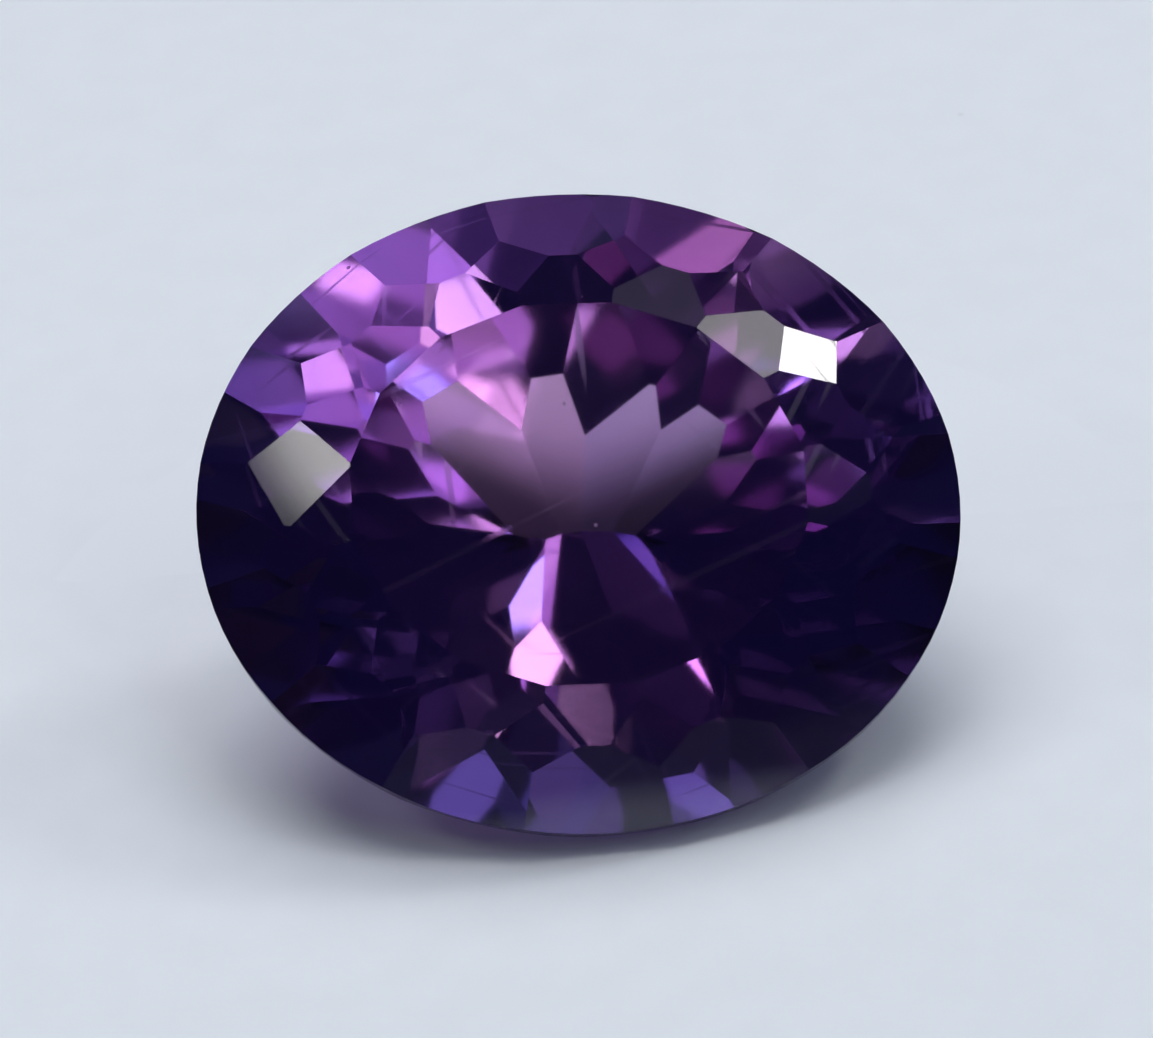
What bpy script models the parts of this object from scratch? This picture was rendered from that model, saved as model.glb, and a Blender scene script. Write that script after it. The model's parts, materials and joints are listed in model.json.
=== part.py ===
# Oval cut tanzanite: one faceted stone. It is cut from an oval blank, one flat
# facet at a time, with its table up, and then laid down on one of its lower
# mains, the way a loose stone comes to rest. Metres, +Z up.
import math

import bmesh
import bpy
from mathutils import Matrix, Vector

NAME = "tanzanite"

# Outline at the girdle, and the heights above and below its upper edge
LENGTH = 0.0140
WIDTH = 0.01194
CROWN_HEIGHT = 0.00180
GIRDLE_DEPTH = 0.00038
BLANK_DEPTH = 0.020

# Each row has sixteen facets, set half a step from the row beside it
FACETS_PER_ROW = 16
ROW_STEP = 2 * math.pi / FACETS_PER_ROW
GIRDLE_SEGMENTS = 96

# Crown, from the table out: slopes on the narrow side, reaches as shares of the half width
TABLE_REACH = 0.588
STAR_SLOPE = math.radians(28.1)
LOZENGE_SLOPE = math.radians(32.4)
BREAK_SLOPE = math.radians(40.9)
LOZENGE_INNER_REACH = 0.649
LOZENGE_OUTER_REACH = 0.8425
CROWN_TURN = math.radians(4.0)

# Pavilion, from the keel out: four rows, each steeper than the one before
MAIN_SLOPE = math.radians(42.2)
SECOND_SLOPE = math.radians(45.2)
THIRD_SLOPE = math.radians(47.3)
RIM_SLOPE = math.radians(60.0)
MAIN_REACH = 0.375
SECOND_REACH = 0.595
THIRD_REACH = 0.985
PAVILION_TURN = math.radians(77.7)
# 0 would cut one slope all round, with a long keel, and 1 a pointed culet
POINTEDNESS = 0.35
# The keel lies a little off the girdle's middle
PAVILION_SHIFT = Vector((0.00003, 0.00008, 0.0))

# Facets that the cutter set a little off: number in the row, turn, extra depth of cut
SHALLOW_CUT = -0.00005
LOZENGE_DRIFT = {7: (math.radians(2.5), 0.00004)}
MAIN_DRIFT = {
    2: (0.0, 0.00007),
    9: (0.0, 0.00024),
}
SECOND_DRIFT = {
    0: (math.radians(-5.0), 0.0),
    2: (0.0, SHALLOW_CUT),
    8: (math.radians(-1.5), 0.00008),
    14: (0.0, SHALLOW_CUT),
    15: (0.0, SHALLOW_CUT),
}
NO_DRIFT = (0.0, 0.0)

# The main that the stone lies on, cut deep enough to be broad
REST_MAIN = 9

CUT_TOLERANCE = 1e-8
WELD_DISTANCE = 4e-6

HALF_LENGTH = LENGTH / 2
HALF_WIDTH = WIDTH / 2


def clear_scene():
    for thing in list(bpy.data.objects):
        bpy.data.objects.remove(thing, do_unlink=True)


# Oval blank


def oval_blank():
    stone = bmesh.new()
    bmesh.ops.create_cone(
        stone,
        cap_ends=True,
        segments=GIRDLE_SEGMENTS,
        radius1=1.0,
        radius2=1.0,
        depth=BLANK_DEPTH,
    )
    bmesh.ops.scale(stone, vec=Vector((HALF_LENGTH, HALF_WIDTH, 1.0)), verts=stone.verts)
    return stone


def cut_facet(stone, point, normal):
    """Cuts away what lies beyond the plane and closes the cut with one flat facet."""
    cut = bmesh.ops.bisect_plane(
        stone,
        geom=stone.verts[:] + stone.edges[:] + stone.faces[:],
        dist=CUT_TOLERANCE,
        plane_co=point,
        plane_no=normal,
        clear_outer=True,
    )
    rim = [part for part in cut["geom_cut"] if isinstance(part, bmesh.types.BMEdge)]
    open_rim = [edge for edge in rim if edge.is_boundary]
    if open_rim:
        bmesh.ops.edgeloop_fill(stone, edges=open_rim)


# Crown


def crown_plane(turn, slope, reach, height):
    """A facet whose slope and reach are those of the narrow side, stretched along the stone."""
    rise = math.tan(slope) * HALF_WIDTH
    normal = Vector((rise * math.cos(turn) / HALF_LENGTH, rise * math.sin(turn) / HALF_WIDTH, 1.0))
    point = Vector((
        reach * HALF_LENGTH * math.cos(turn),
        reach * HALF_WIDTH * math.sin(turn),
        height,
    ))
    return point, normal.normalized()


def drop(slope, reach_from, reach_to):
    """Height lost on the narrow side between two reaches at one slope."""
    return math.tan(slope) * HALF_WIDTH * (reach_to - reach_from)


def cut_crown(stone):
    cut_facet(stone, Vector((0.0, 0.0, CROWN_HEIGHT)), Vector((0.0, 0.0, 1.0)))
    between = math.cos(ROW_STEP / 2)
    lozenge_top = CROWN_HEIGHT - drop(STAR_SLOPE, TABLE_REACH, LOZENGE_INNER_REACH * between)
    break_top = lozenge_top - drop(LOZENGE_SLOPE, LOZENGE_INNER_REACH, LOZENGE_OUTER_REACH)
    for number in range(FACETS_PER_ROW):
        middle = CROWN_TURN + number * ROW_STEP
        corner = middle + ROW_STEP / 2
        turn, extra = LOZENGE_DRIFT.get(number, NO_DRIFT)
        cut_facet(stone, *crown_plane(middle, STAR_SLOPE, TABLE_REACH, CROWN_HEIGHT))
        cut_facet(stone, *crown_plane(
            corner + turn, LOZENGE_SLOPE, LOZENGE_INNER_REACH, lozenge_top - extra
        ))
        cut_facet(stone, *crown_plane(
            middle, BREAK_SLOPE, LOZENGE_OUTER_REACH * between, break_top
        ))


# Pavilion


def pavilion_plane(azimuth, slope, inset, height, shift=PAVILION_SHIFT):
    """A facet that faces the azimuth. Its inset runs in from the girdle on the narrow side."""
    reach = math.hypot(HALF_LENGTH * math.cos(azimuth), HALF_WIDTH * math.sin(azimuth))
    stretch = (reach / HALF_WIDTH) ** POINTEDNESS
    lean = math.atan(math.tan(slope) / stretch)
    outward = Vector((math.cos(azimuth), math.sin(azimuth), 0.0))
    point = outward * (reach - inset * stretch) + shift
    point.z = height
    normal = outward * math.sin(lean)
    normal.z = -math.cos(lean)
    return point, normal


def row_azimuth(number, half_steps):
    return PAVILION_TURN + (number + half_steps / 2) * ROW_STEP


def main_plane(number):
    third_height = -GIRDLE_DEPTH
    second_height = third_height - drop(THIRD_SLOPE, SECOND_REACH, THIRD_REACH)
    main_height = second_height - drop(SECOND_SLOPE, MAIN_REACH, SECOND_REACH)
    turn, extra = MAIN_DRIFT.get(number, NO_DRIFT)
    inset = HALF_WIDTH * (1 - MAIN_REACH) + extra
    return pavilion_plane(row_azimuth(number, 0) + turn, MAIN_SLOPE, inset, main_height)


def second_plane(number):
    height = -GIRDLE_DEPTH - drop(THIRD_SLOPE, SECOND_REACH, THIRD_REACH)
    turn, extra = SECOND_DRIFT.get(number, NO_DRIFT)
    inset = HALF_WIDTH * (1 - SECOND_REACH) + extra
    return pavilion_plane(row_azimuth(number, 1) + turn, SECOND_SLOPE, inset, height)


def third_plane(number):
    inset = HALF_WIDTH * (1 - THIRD_REACH)
    return pavilion_plane(row_azimuth(number, 0), THIRD_SLOPE, inset, -GIRDLE_DEPTH)


def rim_plane(number):
    centred = Vector((0.0, 0.0, 0.0))
    return pavilion_plane(row_azimuth(number, 1), RIM_SLOPE, 0.0, -GIRDLE_DEPTH, centred)


def cut_pavilion(stone):
    for row in (main_plane, second_plane, third_plane, rim_plane):
        for number in range(FACETS_PER_ROW):
            cut_facet(stone, *row(number))


# Polished crystal


def tanzanite_material():
    material = bpy.data.materials.new("tanzanite_crystal")
    material.use_nodes = True
    shader = material.node_tree.nodes["Principled BSDF"]
    shader.inputs["Base Color"].default_value = (0.30, 0.14, 0.62, 1.0)
    shader.inputs["Metallic"].default_value = 0.0
    shader.inputs["Roughness"].default_value = 0.02
    shader.inputs["IOR"].default_value = 1.667
    shader.inputs["Transmission Weight"].default_value = 1.0
    return material


# Laying the stone down


def resting_turn():
    """Turns the rest main's face down and keeps the long axis over +X."""
    up = -main_plane(REST_MAIN)[1]
    along = Vector((1.0, 0.0, 0.0))
    along = (along - up * along.dot(up)).normalized()
    across = up.cross(along)
    return Matrix((along, across, up))


def lay_down(stone_object):
    turn = resting_turn()
    corners = [turn @ vertex.co for vertex in stone_object.data.vertices]
    lowest = [min(corner[axis] for corner in corners) for axis in range(3)]
    highest = [max(corner[axis] for corner in corners) for axis in range(3)]
    stone_object.rotation_euler = turn.to_euler()
    stone_object.location = (
        -(lowest[0] + highest[0]) / 2,
        -(lowest[1] + highest[1]) / 2,
        -lowest[2],
    )


def make_stone():
    stone = oval_blank()
    cut_crown(stone)
    cut_pavilion(stone)
    bmesh.ops.remove_doubles(stone, verts=stone.verts, dist=WELD_DISTANCE)
    bmesh.ops.recalc_face_normals(stone, faces=stone.faces)
    mesh = bpy.data.meshes.new(NAME)
    stone.to_mesh(mesh)
    stone.free()
    mesh.materials.append(tanzanite_material())
    stone_object = bpy.data.objects.new(NAME, mesh)
    collection = bpy.data.collections.new("oval_cut_tanzanite")
    bpy.context.scene.collection.children.link(collection)
    collection.objects.link(stone_object)
    lay_down(stone_object)


clear_scene()
make_stone()
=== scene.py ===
# Oval cut tanzanite, lying loose on a pale sheet under soft studio light.
# The stone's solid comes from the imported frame. This script gives it its crystal
# and its polish, and adds the floor, the lights and the camera.
import json
import math

import bmesh
import bpy
from mathutils import Matrix, Vector

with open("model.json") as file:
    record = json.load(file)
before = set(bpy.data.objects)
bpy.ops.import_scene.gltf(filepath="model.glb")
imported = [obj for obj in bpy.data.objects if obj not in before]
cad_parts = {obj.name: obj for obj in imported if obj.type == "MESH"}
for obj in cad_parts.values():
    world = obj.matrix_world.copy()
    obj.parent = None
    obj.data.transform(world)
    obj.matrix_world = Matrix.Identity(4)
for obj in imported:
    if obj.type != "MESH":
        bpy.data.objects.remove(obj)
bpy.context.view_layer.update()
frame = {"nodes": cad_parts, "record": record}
mounts = {mount["name"]: mount for mount in frame["record"]["mounts"]}
tableNormal = Vector(mounts["table"]["axis"]).normalized()
longAxis = Vector((tableNormal.z, 0.0, -tableNormal.x)).normalized()
narrowAxis = tableNormal.cross(longAxis)


# Camera

cameraSet = {
    "lean": 11.0,            # degrees from the table's normal, towards the near side
    "roll": -1.06,           # degrees
    "distance": 0.150,
    "lens": 255.7,
    "sensor": 36.0,
    "clip": (0.01, 10.0),
    "target": (0.0000111, -0.0001536, 0.0044432),   # middle of the girdle
    "shift": (-0.0017, -0.0060),
}


def makeCamera(values):
    # gives back the direction from the stone to the camera
    lean = math.radians(values["lean"])
    roll = math.radians(values["roll"])
    back = tableNormal * math.cos(lean) - narrowAxis * math.sin(lean)
    right = narrowAxis.cross(back).normalized()
    up = back.cross(right)
    turnedRight = right * math.cos(roll) - up * math.sin(roll)
    turnedUp = right * math.sin(roll) + up * math.cos(roll)
    lensData = bpy.data.cameras.new("camera")
    lensData.lens = values["lens"]
    lensData.sensor_fit = "HORIZONTAL"
    lensData.sensor_width = values["sensor"]
    lensData.shift_x, lensData.shift_y = values["shift"]
    lensData.clip_start, lensData.clip_end = values["clip"]
    camera = bpy.data.objects.new("camera", lensData)
    place = Vector(values["target"]) + back * values["distance"]
    turn = Matrix((turnedRight, turnedUp, back)).transposed().to_4x4()
    camera.matrix_world = Matrix.Translation(place) @ turn
    bpy.context.scene.collection.objects.link(camera)
    bpy.context.scene.camera = camera
    return back


toCamera = makeCamera(cameraSet)
ahead = Vector((-toCamera.x, -toCamera.y, 0.0)).normalized()   # away from the camera, level
rightHand = ahead.cross(Vector((0.0, 0.0, 1.0)))
print("camera placed")


# Shader building blocks

def newGroup(name, inputs, outputs):
    # inputs are (name, kind, start), outputs are (name, kind)
    group = bpy.data.node_groups.new(name, "ShaderNodeTree")
    for label, kind, start in inputs:
        socket = group.interface.new_socket(name=label, in_out="INPUT", socket_type="NodeSocket" + kind)
        if start is not None:
            socket.default_value = start
    for label, kind in outputs:
        group.interface.new_socket(name=label, in_out="OUTPUT", socket_type="NodeSocket" + kind)
    return group, group.nodes.new("NodeGroupInput"), group.nodes.new("NodeGroupOutput")


def addNode(tree, kind, links=(), **settings):
    # links are (input, source socket or plain value)
    node = tree.nodes.new("ShaderNode" + kind)
    for name, value in settings.items():
        setattr(node, name, value)
    for name, source in links:
        if isinstance(source, bpy.types.NodeSocket):
            tree.links.new(source, node.inputs[name])
        else:
            node.inputs[name].default_value = source
    return node


def addGroup(tree, group, links):
    return addNode(tree, "Group", links, node_tree=group)


def mathNode(tree, operation, first, second=0.0, clamp=False):
    node = addNode(tree, "Math", ((0, first), (1, second)), operation=operation, use_clamp=clamp)
    return node.outputs[0]


def vectorNode(tree, operation, first, second=(0.0, 0.0, 0.0)):
    # a length or a dot product is one number, and what else is used here is a vector
    node = addNode(tree, "VectorMath", ((0, first), (1, second)), operation=operation)
    return node.outputs["Value" if operation in ("LENGTH", "DOT_PRODUCT") else "Vector"]


def noiseNode(tree, place, scale, detail=0.0):
    return addNode(tree, "TexNoise", (("Vector", place), ("Scale", scale), ("Detail", detail)))


def smoothShare(tree, value, reach, fromShare=0.0, toShare=1.0):
    # a soft step from one share to the other while the value crosses the reach
    node = addNode(tree, "MapRange", (
        ("Value", value), ("From Min", reach[0]), ("From Max", reach[1]),
        ("To Min", fromShare), ("To Max", toShare),
    ), interpolation_type="SMOOTHSTEP")
    return node.outputs["Result"]


def mixColours(tree, share, first, second, blend="MIX"):
    # a colour is a socket or three plain values
    node = addNode(tree, "Mix", ((0, share),), data_type="RGBA", blend_type=blend)
    for slot, colour in ((6, first), (7, second)):
        if isinstance(colour, bpy.types.NodeSocket):
            tree.links.new(colour, node.inputs[slot])
        else:
            node.inputs[slot].default_value = (*colour, 1.0)
    return node.outputs[2]


def makeSpecks():
    # sparse round grains: one in every few cells of a grid, each with soft edges
    group, source, sink = newGroup("fineSpecks", (
        ("Place", "Vector", None), ("PerMetre", "Float", 2000.0),
        ("Share", "Float", 0.1), ("Size", "Float", 0.2),
    ), (("Mask", "Float"),))
    cells = addNode(group, "TexVoronoi", (
        ("Vector", source.outputs["Place"]), ("Scale", source.outputs["PerMetre"]),
    ))
    pick = addNode(group, "SeparateColor", (("Color", cells.outputs["Color"]),))
    chosen = mathNode(group, "LESS_THAN", pick.outputs["Red"], source.outputs["Share"])
    size = mathNode(group, "MULTIPLY", source.outputs["Size"], pick.outputs["Green"])
    spot = smoothShare(group, cells.outputs["Distance"], (size, 0.0))
    group.links.new(mathNode(group, "MULTIPLY", chosen, spot), sink.inputs["Mask"])
    return group


lineSet = {
    "headingScale": 4.3,      # how quickly the lines' direction changes with the facet's
    "acrossShare": 0.13,      # of PerMetre, the noise's fineness across the lines
    "alongShare": 0.0042,     # and along them, which makes lines thirty times as long as wide
    "edge": (0.70, 0.74),     # only the noise's peaks become lines
}


def makePolishLines(values):
    # fine parallel lines, in a direction of its own on every facet
    group, source, sink = newGroup("polishLines", (
        ("Place", "Vector", None), ("Facing", "Vector", None), ("PerMetre", "Float", 20000.0),
    ), (("Lines", "Float"),))
    facing = source.outputs["Facing"]
    draw = addNode(group, "TexNoise", (("Vector", facing), ("Scale", values["headingScale"])))
    heading = vectorNode(group, "SUBTRACT", draw.outputs["Color"], (0.5, 0.5, 0.5))
    across = vectorNode(group, "NORMALIZE", vectorNode(group, "CROSS_PRODUCT", facing, heading))
    along = vectorNode(group, "CROSS_PRODUCT", facing, across)
    steps = []
    for direction, share in ((across, values["acrossShare"]), (along, values["alongShare"])):
        reach = vectorNode(group, "DOT_PRODUCT", source.outputs["Place"], direction)
        spacings = mathNode(group, "MULTIPLY", reach, source.outputs["PerMetre"])
        steps.append(mathNode(group, "MULTIPLY", spacings, share))
    flat = addNode(group, "CombineXYZ", (("X", steps[0]), ("Y", steps[1])))
    scratch = noiseNode(group, flat.outputs["Vector"], 1.0)
    group.links.new(smoothShare(group, scratch.outputs["Fac"], values["edge"]), sink.inputs["Lines"])
    return group


fineSpecks = makeSpecks()
polishLines = makePolishLines(lineSet)


# Light

# Gels on the lamps
gels = {
    "clear": (1.0, 0.98, 0.96),
    "pink": (1.0, 0.90, 0.85),
    "lilac": (0.85, 0.80, 1.0),
    "mint": (0.80, 1.0, 0.65),
    "sky": (0.45, 0.95, 1.0),
    "blue": (0.40, 0.45, 1.0),
    "wine": (1.0, 0.45, 0.90),
}
roomSet = {
    "lampDistance": 0.40,
    "lampEdge": 0.5,                    # share of a lamp's radius that fades out
    "ambient": (0.010, 0.012, 0.034),
}
# Round soft boxes: azimuth, elevation, reach, radiance and gel. Azimuth is 0 behind
# the stone, 90 to its right and 180 behind the camera. Reach is the half angle covered.
lampSet = {
    "keyLamp": (73, 44.5, 6.5, 14.0, "clear"),
    "keyHalo": (67.5, 52.5, 4.0, 2.3, "clear"),
    "wideRight": (119, 56, 21.0, 0.75, "lilac"),
    "wideBack": (60, 70, 20.0, 0.4, "lilac"),
    "lowBackLeft": (-23, 35, 8.0, 0.4, "blue"),
    "lowBack": (12, 36, 14.0, 0.16, "blue"),
    "lowBackRight": (36, 27, 7.0, 0.36, "blue"),
    "topSpark": (83, 77, 3.5, 3.0, "pink"),
    "sideSpark": (117, 11.5, 2.0, 2.0, "pink"),
    "sideLow": (105, 35, 5.0, 2.0, "lilac"),
    "rightSpark": (105, 57, 3.0, 3.6, "mint"),
    "rightMiddle": (123, 43, 3.8, 3.6, "sky"),
    "rightHigh": (127, 70.5, 4.0, 2.6, "mint"),
    "frontLow": (140, 38, 3.5, 4.5, "mint"),
    "frontMiddle": (148, 43.5, 4.5, 5.0, "mint"),
    "frontUpper": (142, 52, 4.0, 1.2, "lilac"),
    "frontHigh": (146, 60, 3.5, 2.6, "mint"),
    "frontWine": (-172, 67, 6.5, 0.38, "wine"),
    "leftTop": (-94, 71, 3.0, 3.8, "mint"),
    "leftSpark": (-110, 46, 3.0, 1.5, "pink"),
    "leftBlue": (-102, 51, 2.5, 0.9, "blue"),
}
# Cards, with a distance and a fading edge of their own at the end of each line. The
# lower rim of the near one crosses a facet's mirror image.
cardSet = {
    "nearCard": (-94, 43.4, 6.2, 4.8, "clear", 0.06, 0.25),
    "backHigh": (6, 79.3, 2.6, 6.5, "clear", 0.40, 0.05),
}
fillSet = {
    "height": 0.6,
    "back": 0.22,
    "size": 0.7,
    "radiance": 2.5,
    "edge": 0.3,
}


def skyDirection(azimuth, elevation):
    turn = math.radians(azimuth)
    level = ahead * math.cos(turn) + rightHand * math.sin(turn)
    rise = math.radians(elevation)
    return level * math.cos(rise) + Vector((0, 0, math.sin(rise)))


def addSoftBox(name, size, radiance, colour, edge):
    # a round lamp that is even in the middle and fades towards its rim
    lamp = bpy.data.lights.new(name, "AREA")
    lamp.shape = "DISK"
    lamp.size = size
    lamp.energy = radiance * math.pi * size * size
    lamp.color = colour
    lamp.use_nodes = True
    tree = lamp.node_tree
    place = addNode(tree, "NewGeometry").outputs["Parametric"]
    middle = vectorNode(tree, "SUBTRACT", place, (0.5, 0.5, 0.0))
    radius = vectorNode(tree, "LENGTH", vectorNode(tree, "MULTIPLY", middle, (2.0, 2.0, 0.0)))
    fade = smoothShare(tree, radius, (1.0, 1.0 - edge))
    tree.links.new(fade, tree.nodes["Emission"].inputs["Strength"])
    lampObject = bpy.data.objects.new(name, lamp)
    bpy.context.scene.collection.objects.link(lampObject)
    return lampObject


def hangLamp(name, azimuth, elevation, reach, radiance, gel, distance, edge):
    size = 2 * distance * math.tan(math.radians(reach))
    lamp = addSoftBox(name, size, radiance, gels[gel], edge)
    direction = skyDirection(azimuth, elevation)
    lamp.location = Vector(cameraSet["target"]) + direction * distance
    lamp.rotation_mode = "QUATERNION"
    lamp.rotation_quaternion = direction.to_track_quat("Z", "Y")


def makeLights():
    for name, values in lampSet.items():
        hangLamp(name, *values, roomSet["lampDistance"], roomSet["lampEdge"])
    for name, values in cardSet.items():
        hangLamp(name, *values)
    # the fill lights the sheet, and the stone neither mirrors nor passes it
    fill = addSoftBox("floorFill", fillSet["size"], fillSet["radiance"], gels["clear"], fillSet["edge"])
    fill.location = ahead * fillSet["back"] + Vector((0.0, 0.0, fillSet["height"]))
    fill.visible_glossy = False
    fill.visible_transmission = False


def makeWorld(colour):
    world = bpy.data.worlds.new("room")
    world.use_nodes = True
    world.node_tree.nodes["Background"].inputs["Color"].default_value = (*colour, 1.0)
    bpy.context.scene.world = world


makeLights()
makeWorld(roomSet["ambient"])
bpy.context.scene.view_settings.view_transform = "Standard"
print("lights placed")


# Floor

floorSet = {
    "radius": 0.6,
    "sides": 128,
    "airGap": 0.00003,                # a polished facet never wets the sheet
    "colour": (0.81, 0.88, 0.96),
    "roughness": 0.7,
    "mottlePerMetre": 900.0,
    "mottleEdge": (0.2, 0.8),
    "mottleDepth": 0.02,
    "specksPerMetre": 700.0,
    "specksShare": 0.02,
    "specksSize": 0.10,
    "specksDepth": 0.15,
}
# Painted light and shade in the sheet's colour, by place on the sheet in metres, for every ray but the
# camera's: how much of the sheet's light the stone gets. It is painted bright behind the stone and
# under it, painted dim in between and in front, and painted dark far off.
paintedSheetLightSet = {
    "backReach": (0.0041, 0.0049),    # how far back the bright part behind the stone starts
    "footBack": (0.0036, 0.0024),     # how far back the bright part under it ends
    "footReach": (0.0085, 0.0060),    # and how far from the middle
    "farReach": (0.0110, 0.0150),     # where the lit sheet ends
    "darkShare": 0.10,
    "backShare": 1.1,
    "footShare": 1.0,
    "farShare": 0.03,
}


def addPaintedSheetLight(tree, place, values):
    # gives back the share of the sheet's colour, which is whole for the camera and painted light and
    # shade for every other ray
    fromMiddle = vectorNode(tree, "LENGTH", place)
    back = addNode(tree, "SeparateXYZ", (("Vector", place),)).outputs["Y"]
    behind = smoothShare(tree, back, values["backReach"], values["darkShare"], values["backShare"])
    front = smoothShare(tree, back, values["footBack"], 0.0, values["footShare"])
    under = mathNode(tree, "MULTIPLY", front, smoothShare(tree, fromMiddle, values["footReach"]))
    near = smoothShare(tree, fromMiddle, values["farReach"], 1.0, values["farShare"])
    seen = mathNode(tree, "MULTIPLY", mathNode(tree, "MAXIMUM", behind, under), near)
    return mathNode(tree, "MAXIMUM", addNode(tree, "LightPath").outputs["Is Camera Ray"], seen)


def makeSheet(values):
    material = bpy.data.materials.new("paleSheet")
    material.use_nodes = True
    tree = material.node_tree
    shader = tree.nodes["Principled BSDF"]
    shader.inputs["Roughness"].default_value = values["roughness"]
    place = addNode(tree, "TexCoord").outputs["Object"]
    share = addPaintedSheetLight(tree, place, paintedSheetLightSet)

    # faint cloudiness of the paper, with a few grey specks
    mottle = noiseNode(tree, place, values["mottlePerMetre"], 1.0)
    cloud = smoothShare(
        tree, mottle.outputs["Fac"], values["mottleEdge"], 1.0 - values["mottleDepth"], 1.0
    )
    specks = addGroup(tree, fineSpecks, (
        ("Place", place), ("PerMetre", values["specksPerMetre"]),
        ("Share", values["specksShare"]), ("Size", values["specksSize"]),
    ))
    dirt = mathNode(tree, "MULTIPLY", specks.outputs["Mask"], values["specksDepth"])
    clean = mathNode(tree, "SUBTRACT", cloud, dirt)
    # the painted light and shade, times the paper's own cloudiness and specks
    bright = mathNode(tree, "MULTIPLY", share, clean)
    tree.links.new(
        mixColours(tree, bright, (0.0, 0.0, 0.0), values["colour"]), shader.inputs["Base Color"]
    )
    return material


def makeFloor(values):
    mesh = bpy.data.meshes.new("floor")
    shape = bmesh.new()
    bmesh.ops.create_circle(shape, cap_ends=True, segments=values["sides"], radius=values["radius"])
    shape.to_mesh(mesh)
    shape.free()
    mesh.materials.append(makeSheet(values))
    floor = bpy.data.objects.new("floor", mesh)
    floor.location.z = -values["airGap"]
    bpy.context.scene.collection.objects.link(floor)


makeFloor(floorSet)
print("floor laid")


# Crystal

crystalSet = {
    "ior": 1.667,
    "density": 150.0,                    # per metre
    "passed": (0.66, 0.30, 0.79),        # share of the density that each colour is spared
    "endTint": (0.48, 0.60, 1.0),        # bluer at the stone's ends
    "middleTint": (1.0, 0.90, 0.97),
    "tintReach": (0.0030, 0.0068),       # metres from the middle, along the stone
    "coolTint": (0.74, 0.80, 1.0),       # tanzanite's colour turns with direction,
    "warmTint": (1.0, 0.86, 0.93),       # so each facet has a hue of its own
    "hueScale": 2.6,
    "hueEdge": (0.38, 0.62),
    "roughness": 0.075,                  # on the average of all patches
    "patchRoughness": 0.03,              # between the best and the worst polish
    "patchesPerMetre": 260.0,
    "linesPerMetre": 24000.0,
    "lineRoughness": 0.10,
    "dustPerMetre": 2300.0,
    "dustShare": 0.035,
    "dustSize": 0.16,
    "dustRoughness": 0.55,
}


def addTint(tree, place, facing, values):
    # the ends of the stone pass more blue than its middle, and facets differ in hue
    middle = vectorNode(tree, "SUBTRACT", place, cameraSet["target"])
    reach = mathNode(tree, "ABSOLUTE", vectorNode(tree, "DOT_PRODUCT", middle, tuple(longAxis)))
    endShare = smoothShare(tree, reach, values["tintReach"])
    lengthTint = mixColours(tree, endShare, values["middleTint"], values["endTint"])
    hue = noiseNode(tree, facing, values["hueScale"])
    turn = smoothShare(tree, hue.outputs["Fac"], values["hueEdge"])
    facetTint = mixColours(tree, turn, values["coolTint"], values["warmTint"])
    return mixColours(tree, 1.0, lengthTint, facetTint, "MULTIPLY")


def addPolish(tree, place, facing, values):
    # patches that took less polish, the lines it left, and dust on the surface
    patches = noiseNode(tree, place, values["patchesPerMetre"])
    lines = addGroup(tree, polishLines, (
        ("Place", place), ("Facing", facing), ("PerMetre", values["linesPerMetre"]),
    ))
    dust = addGroup(tree, fineSpecks, (
        ("Place", place), ("PerMetre", values["dustPerMetre"]),
        ("Share", values["dustShare"]), ("Size", values["dustSize"]),
    ))
    worn = mathNode(tree, "MULTIPLY", patches.outputs["Fac"], values["patchRoughness"])
    polish = mathNode(tree, "ADD", worn, values["roughness"] - values["patchRoughness"] / 2)
    lined = mathNode(tree, "MULTIPLY", lines.outputs["Lines"], values["lineRoughness"])
    dusty = mathNode(tree, "MULTIPLY", dust.outputs["Mask"], values["dustRoughness"])
    return mathNode(tree, "ADD", mathNode(tree, "ADD", polish, lined), dusty, clamp=True)


def makeCrystal(values):
    material = bpy.data.materials.new("polishedCrystal")
    material.use_nodes = True
    tree = material.node_tree
    shader = tree.nodes["Principled BSDF"]
    shader.inputs["IOR"].default_value = values["ior"]
    shader.inputs["Transmission Weight"].default_value = 1.0
    place = addNode(tree, "TexCoord").outputs["Object"]
    facing = addNode(tree, "NewGeometry").outputs["True Normal"]
    tree.links.new(addTint(tree, place, facing, values), shader.inputs["Base Color"])
    tree.links.new(addPolish(tree, place, facing, values), shader.inputs["Roughness"])
    absorb = addNode(tree, "VolumeAbsorption", (
        ("Color", (*values["passed"], 1.0)), ("Density", values["density"]),
    ))
    tree.links.new(absorb.outputs["Volume"], tree.nodes["Material Output"].inputs["Volume"])
    return material


stone = frame["nodes"]["tanzanite"]
crystal = makeCrystal(crystalSet)
for slot in stone.material_slots:
    slot.material = crystal
print("crystal finished")
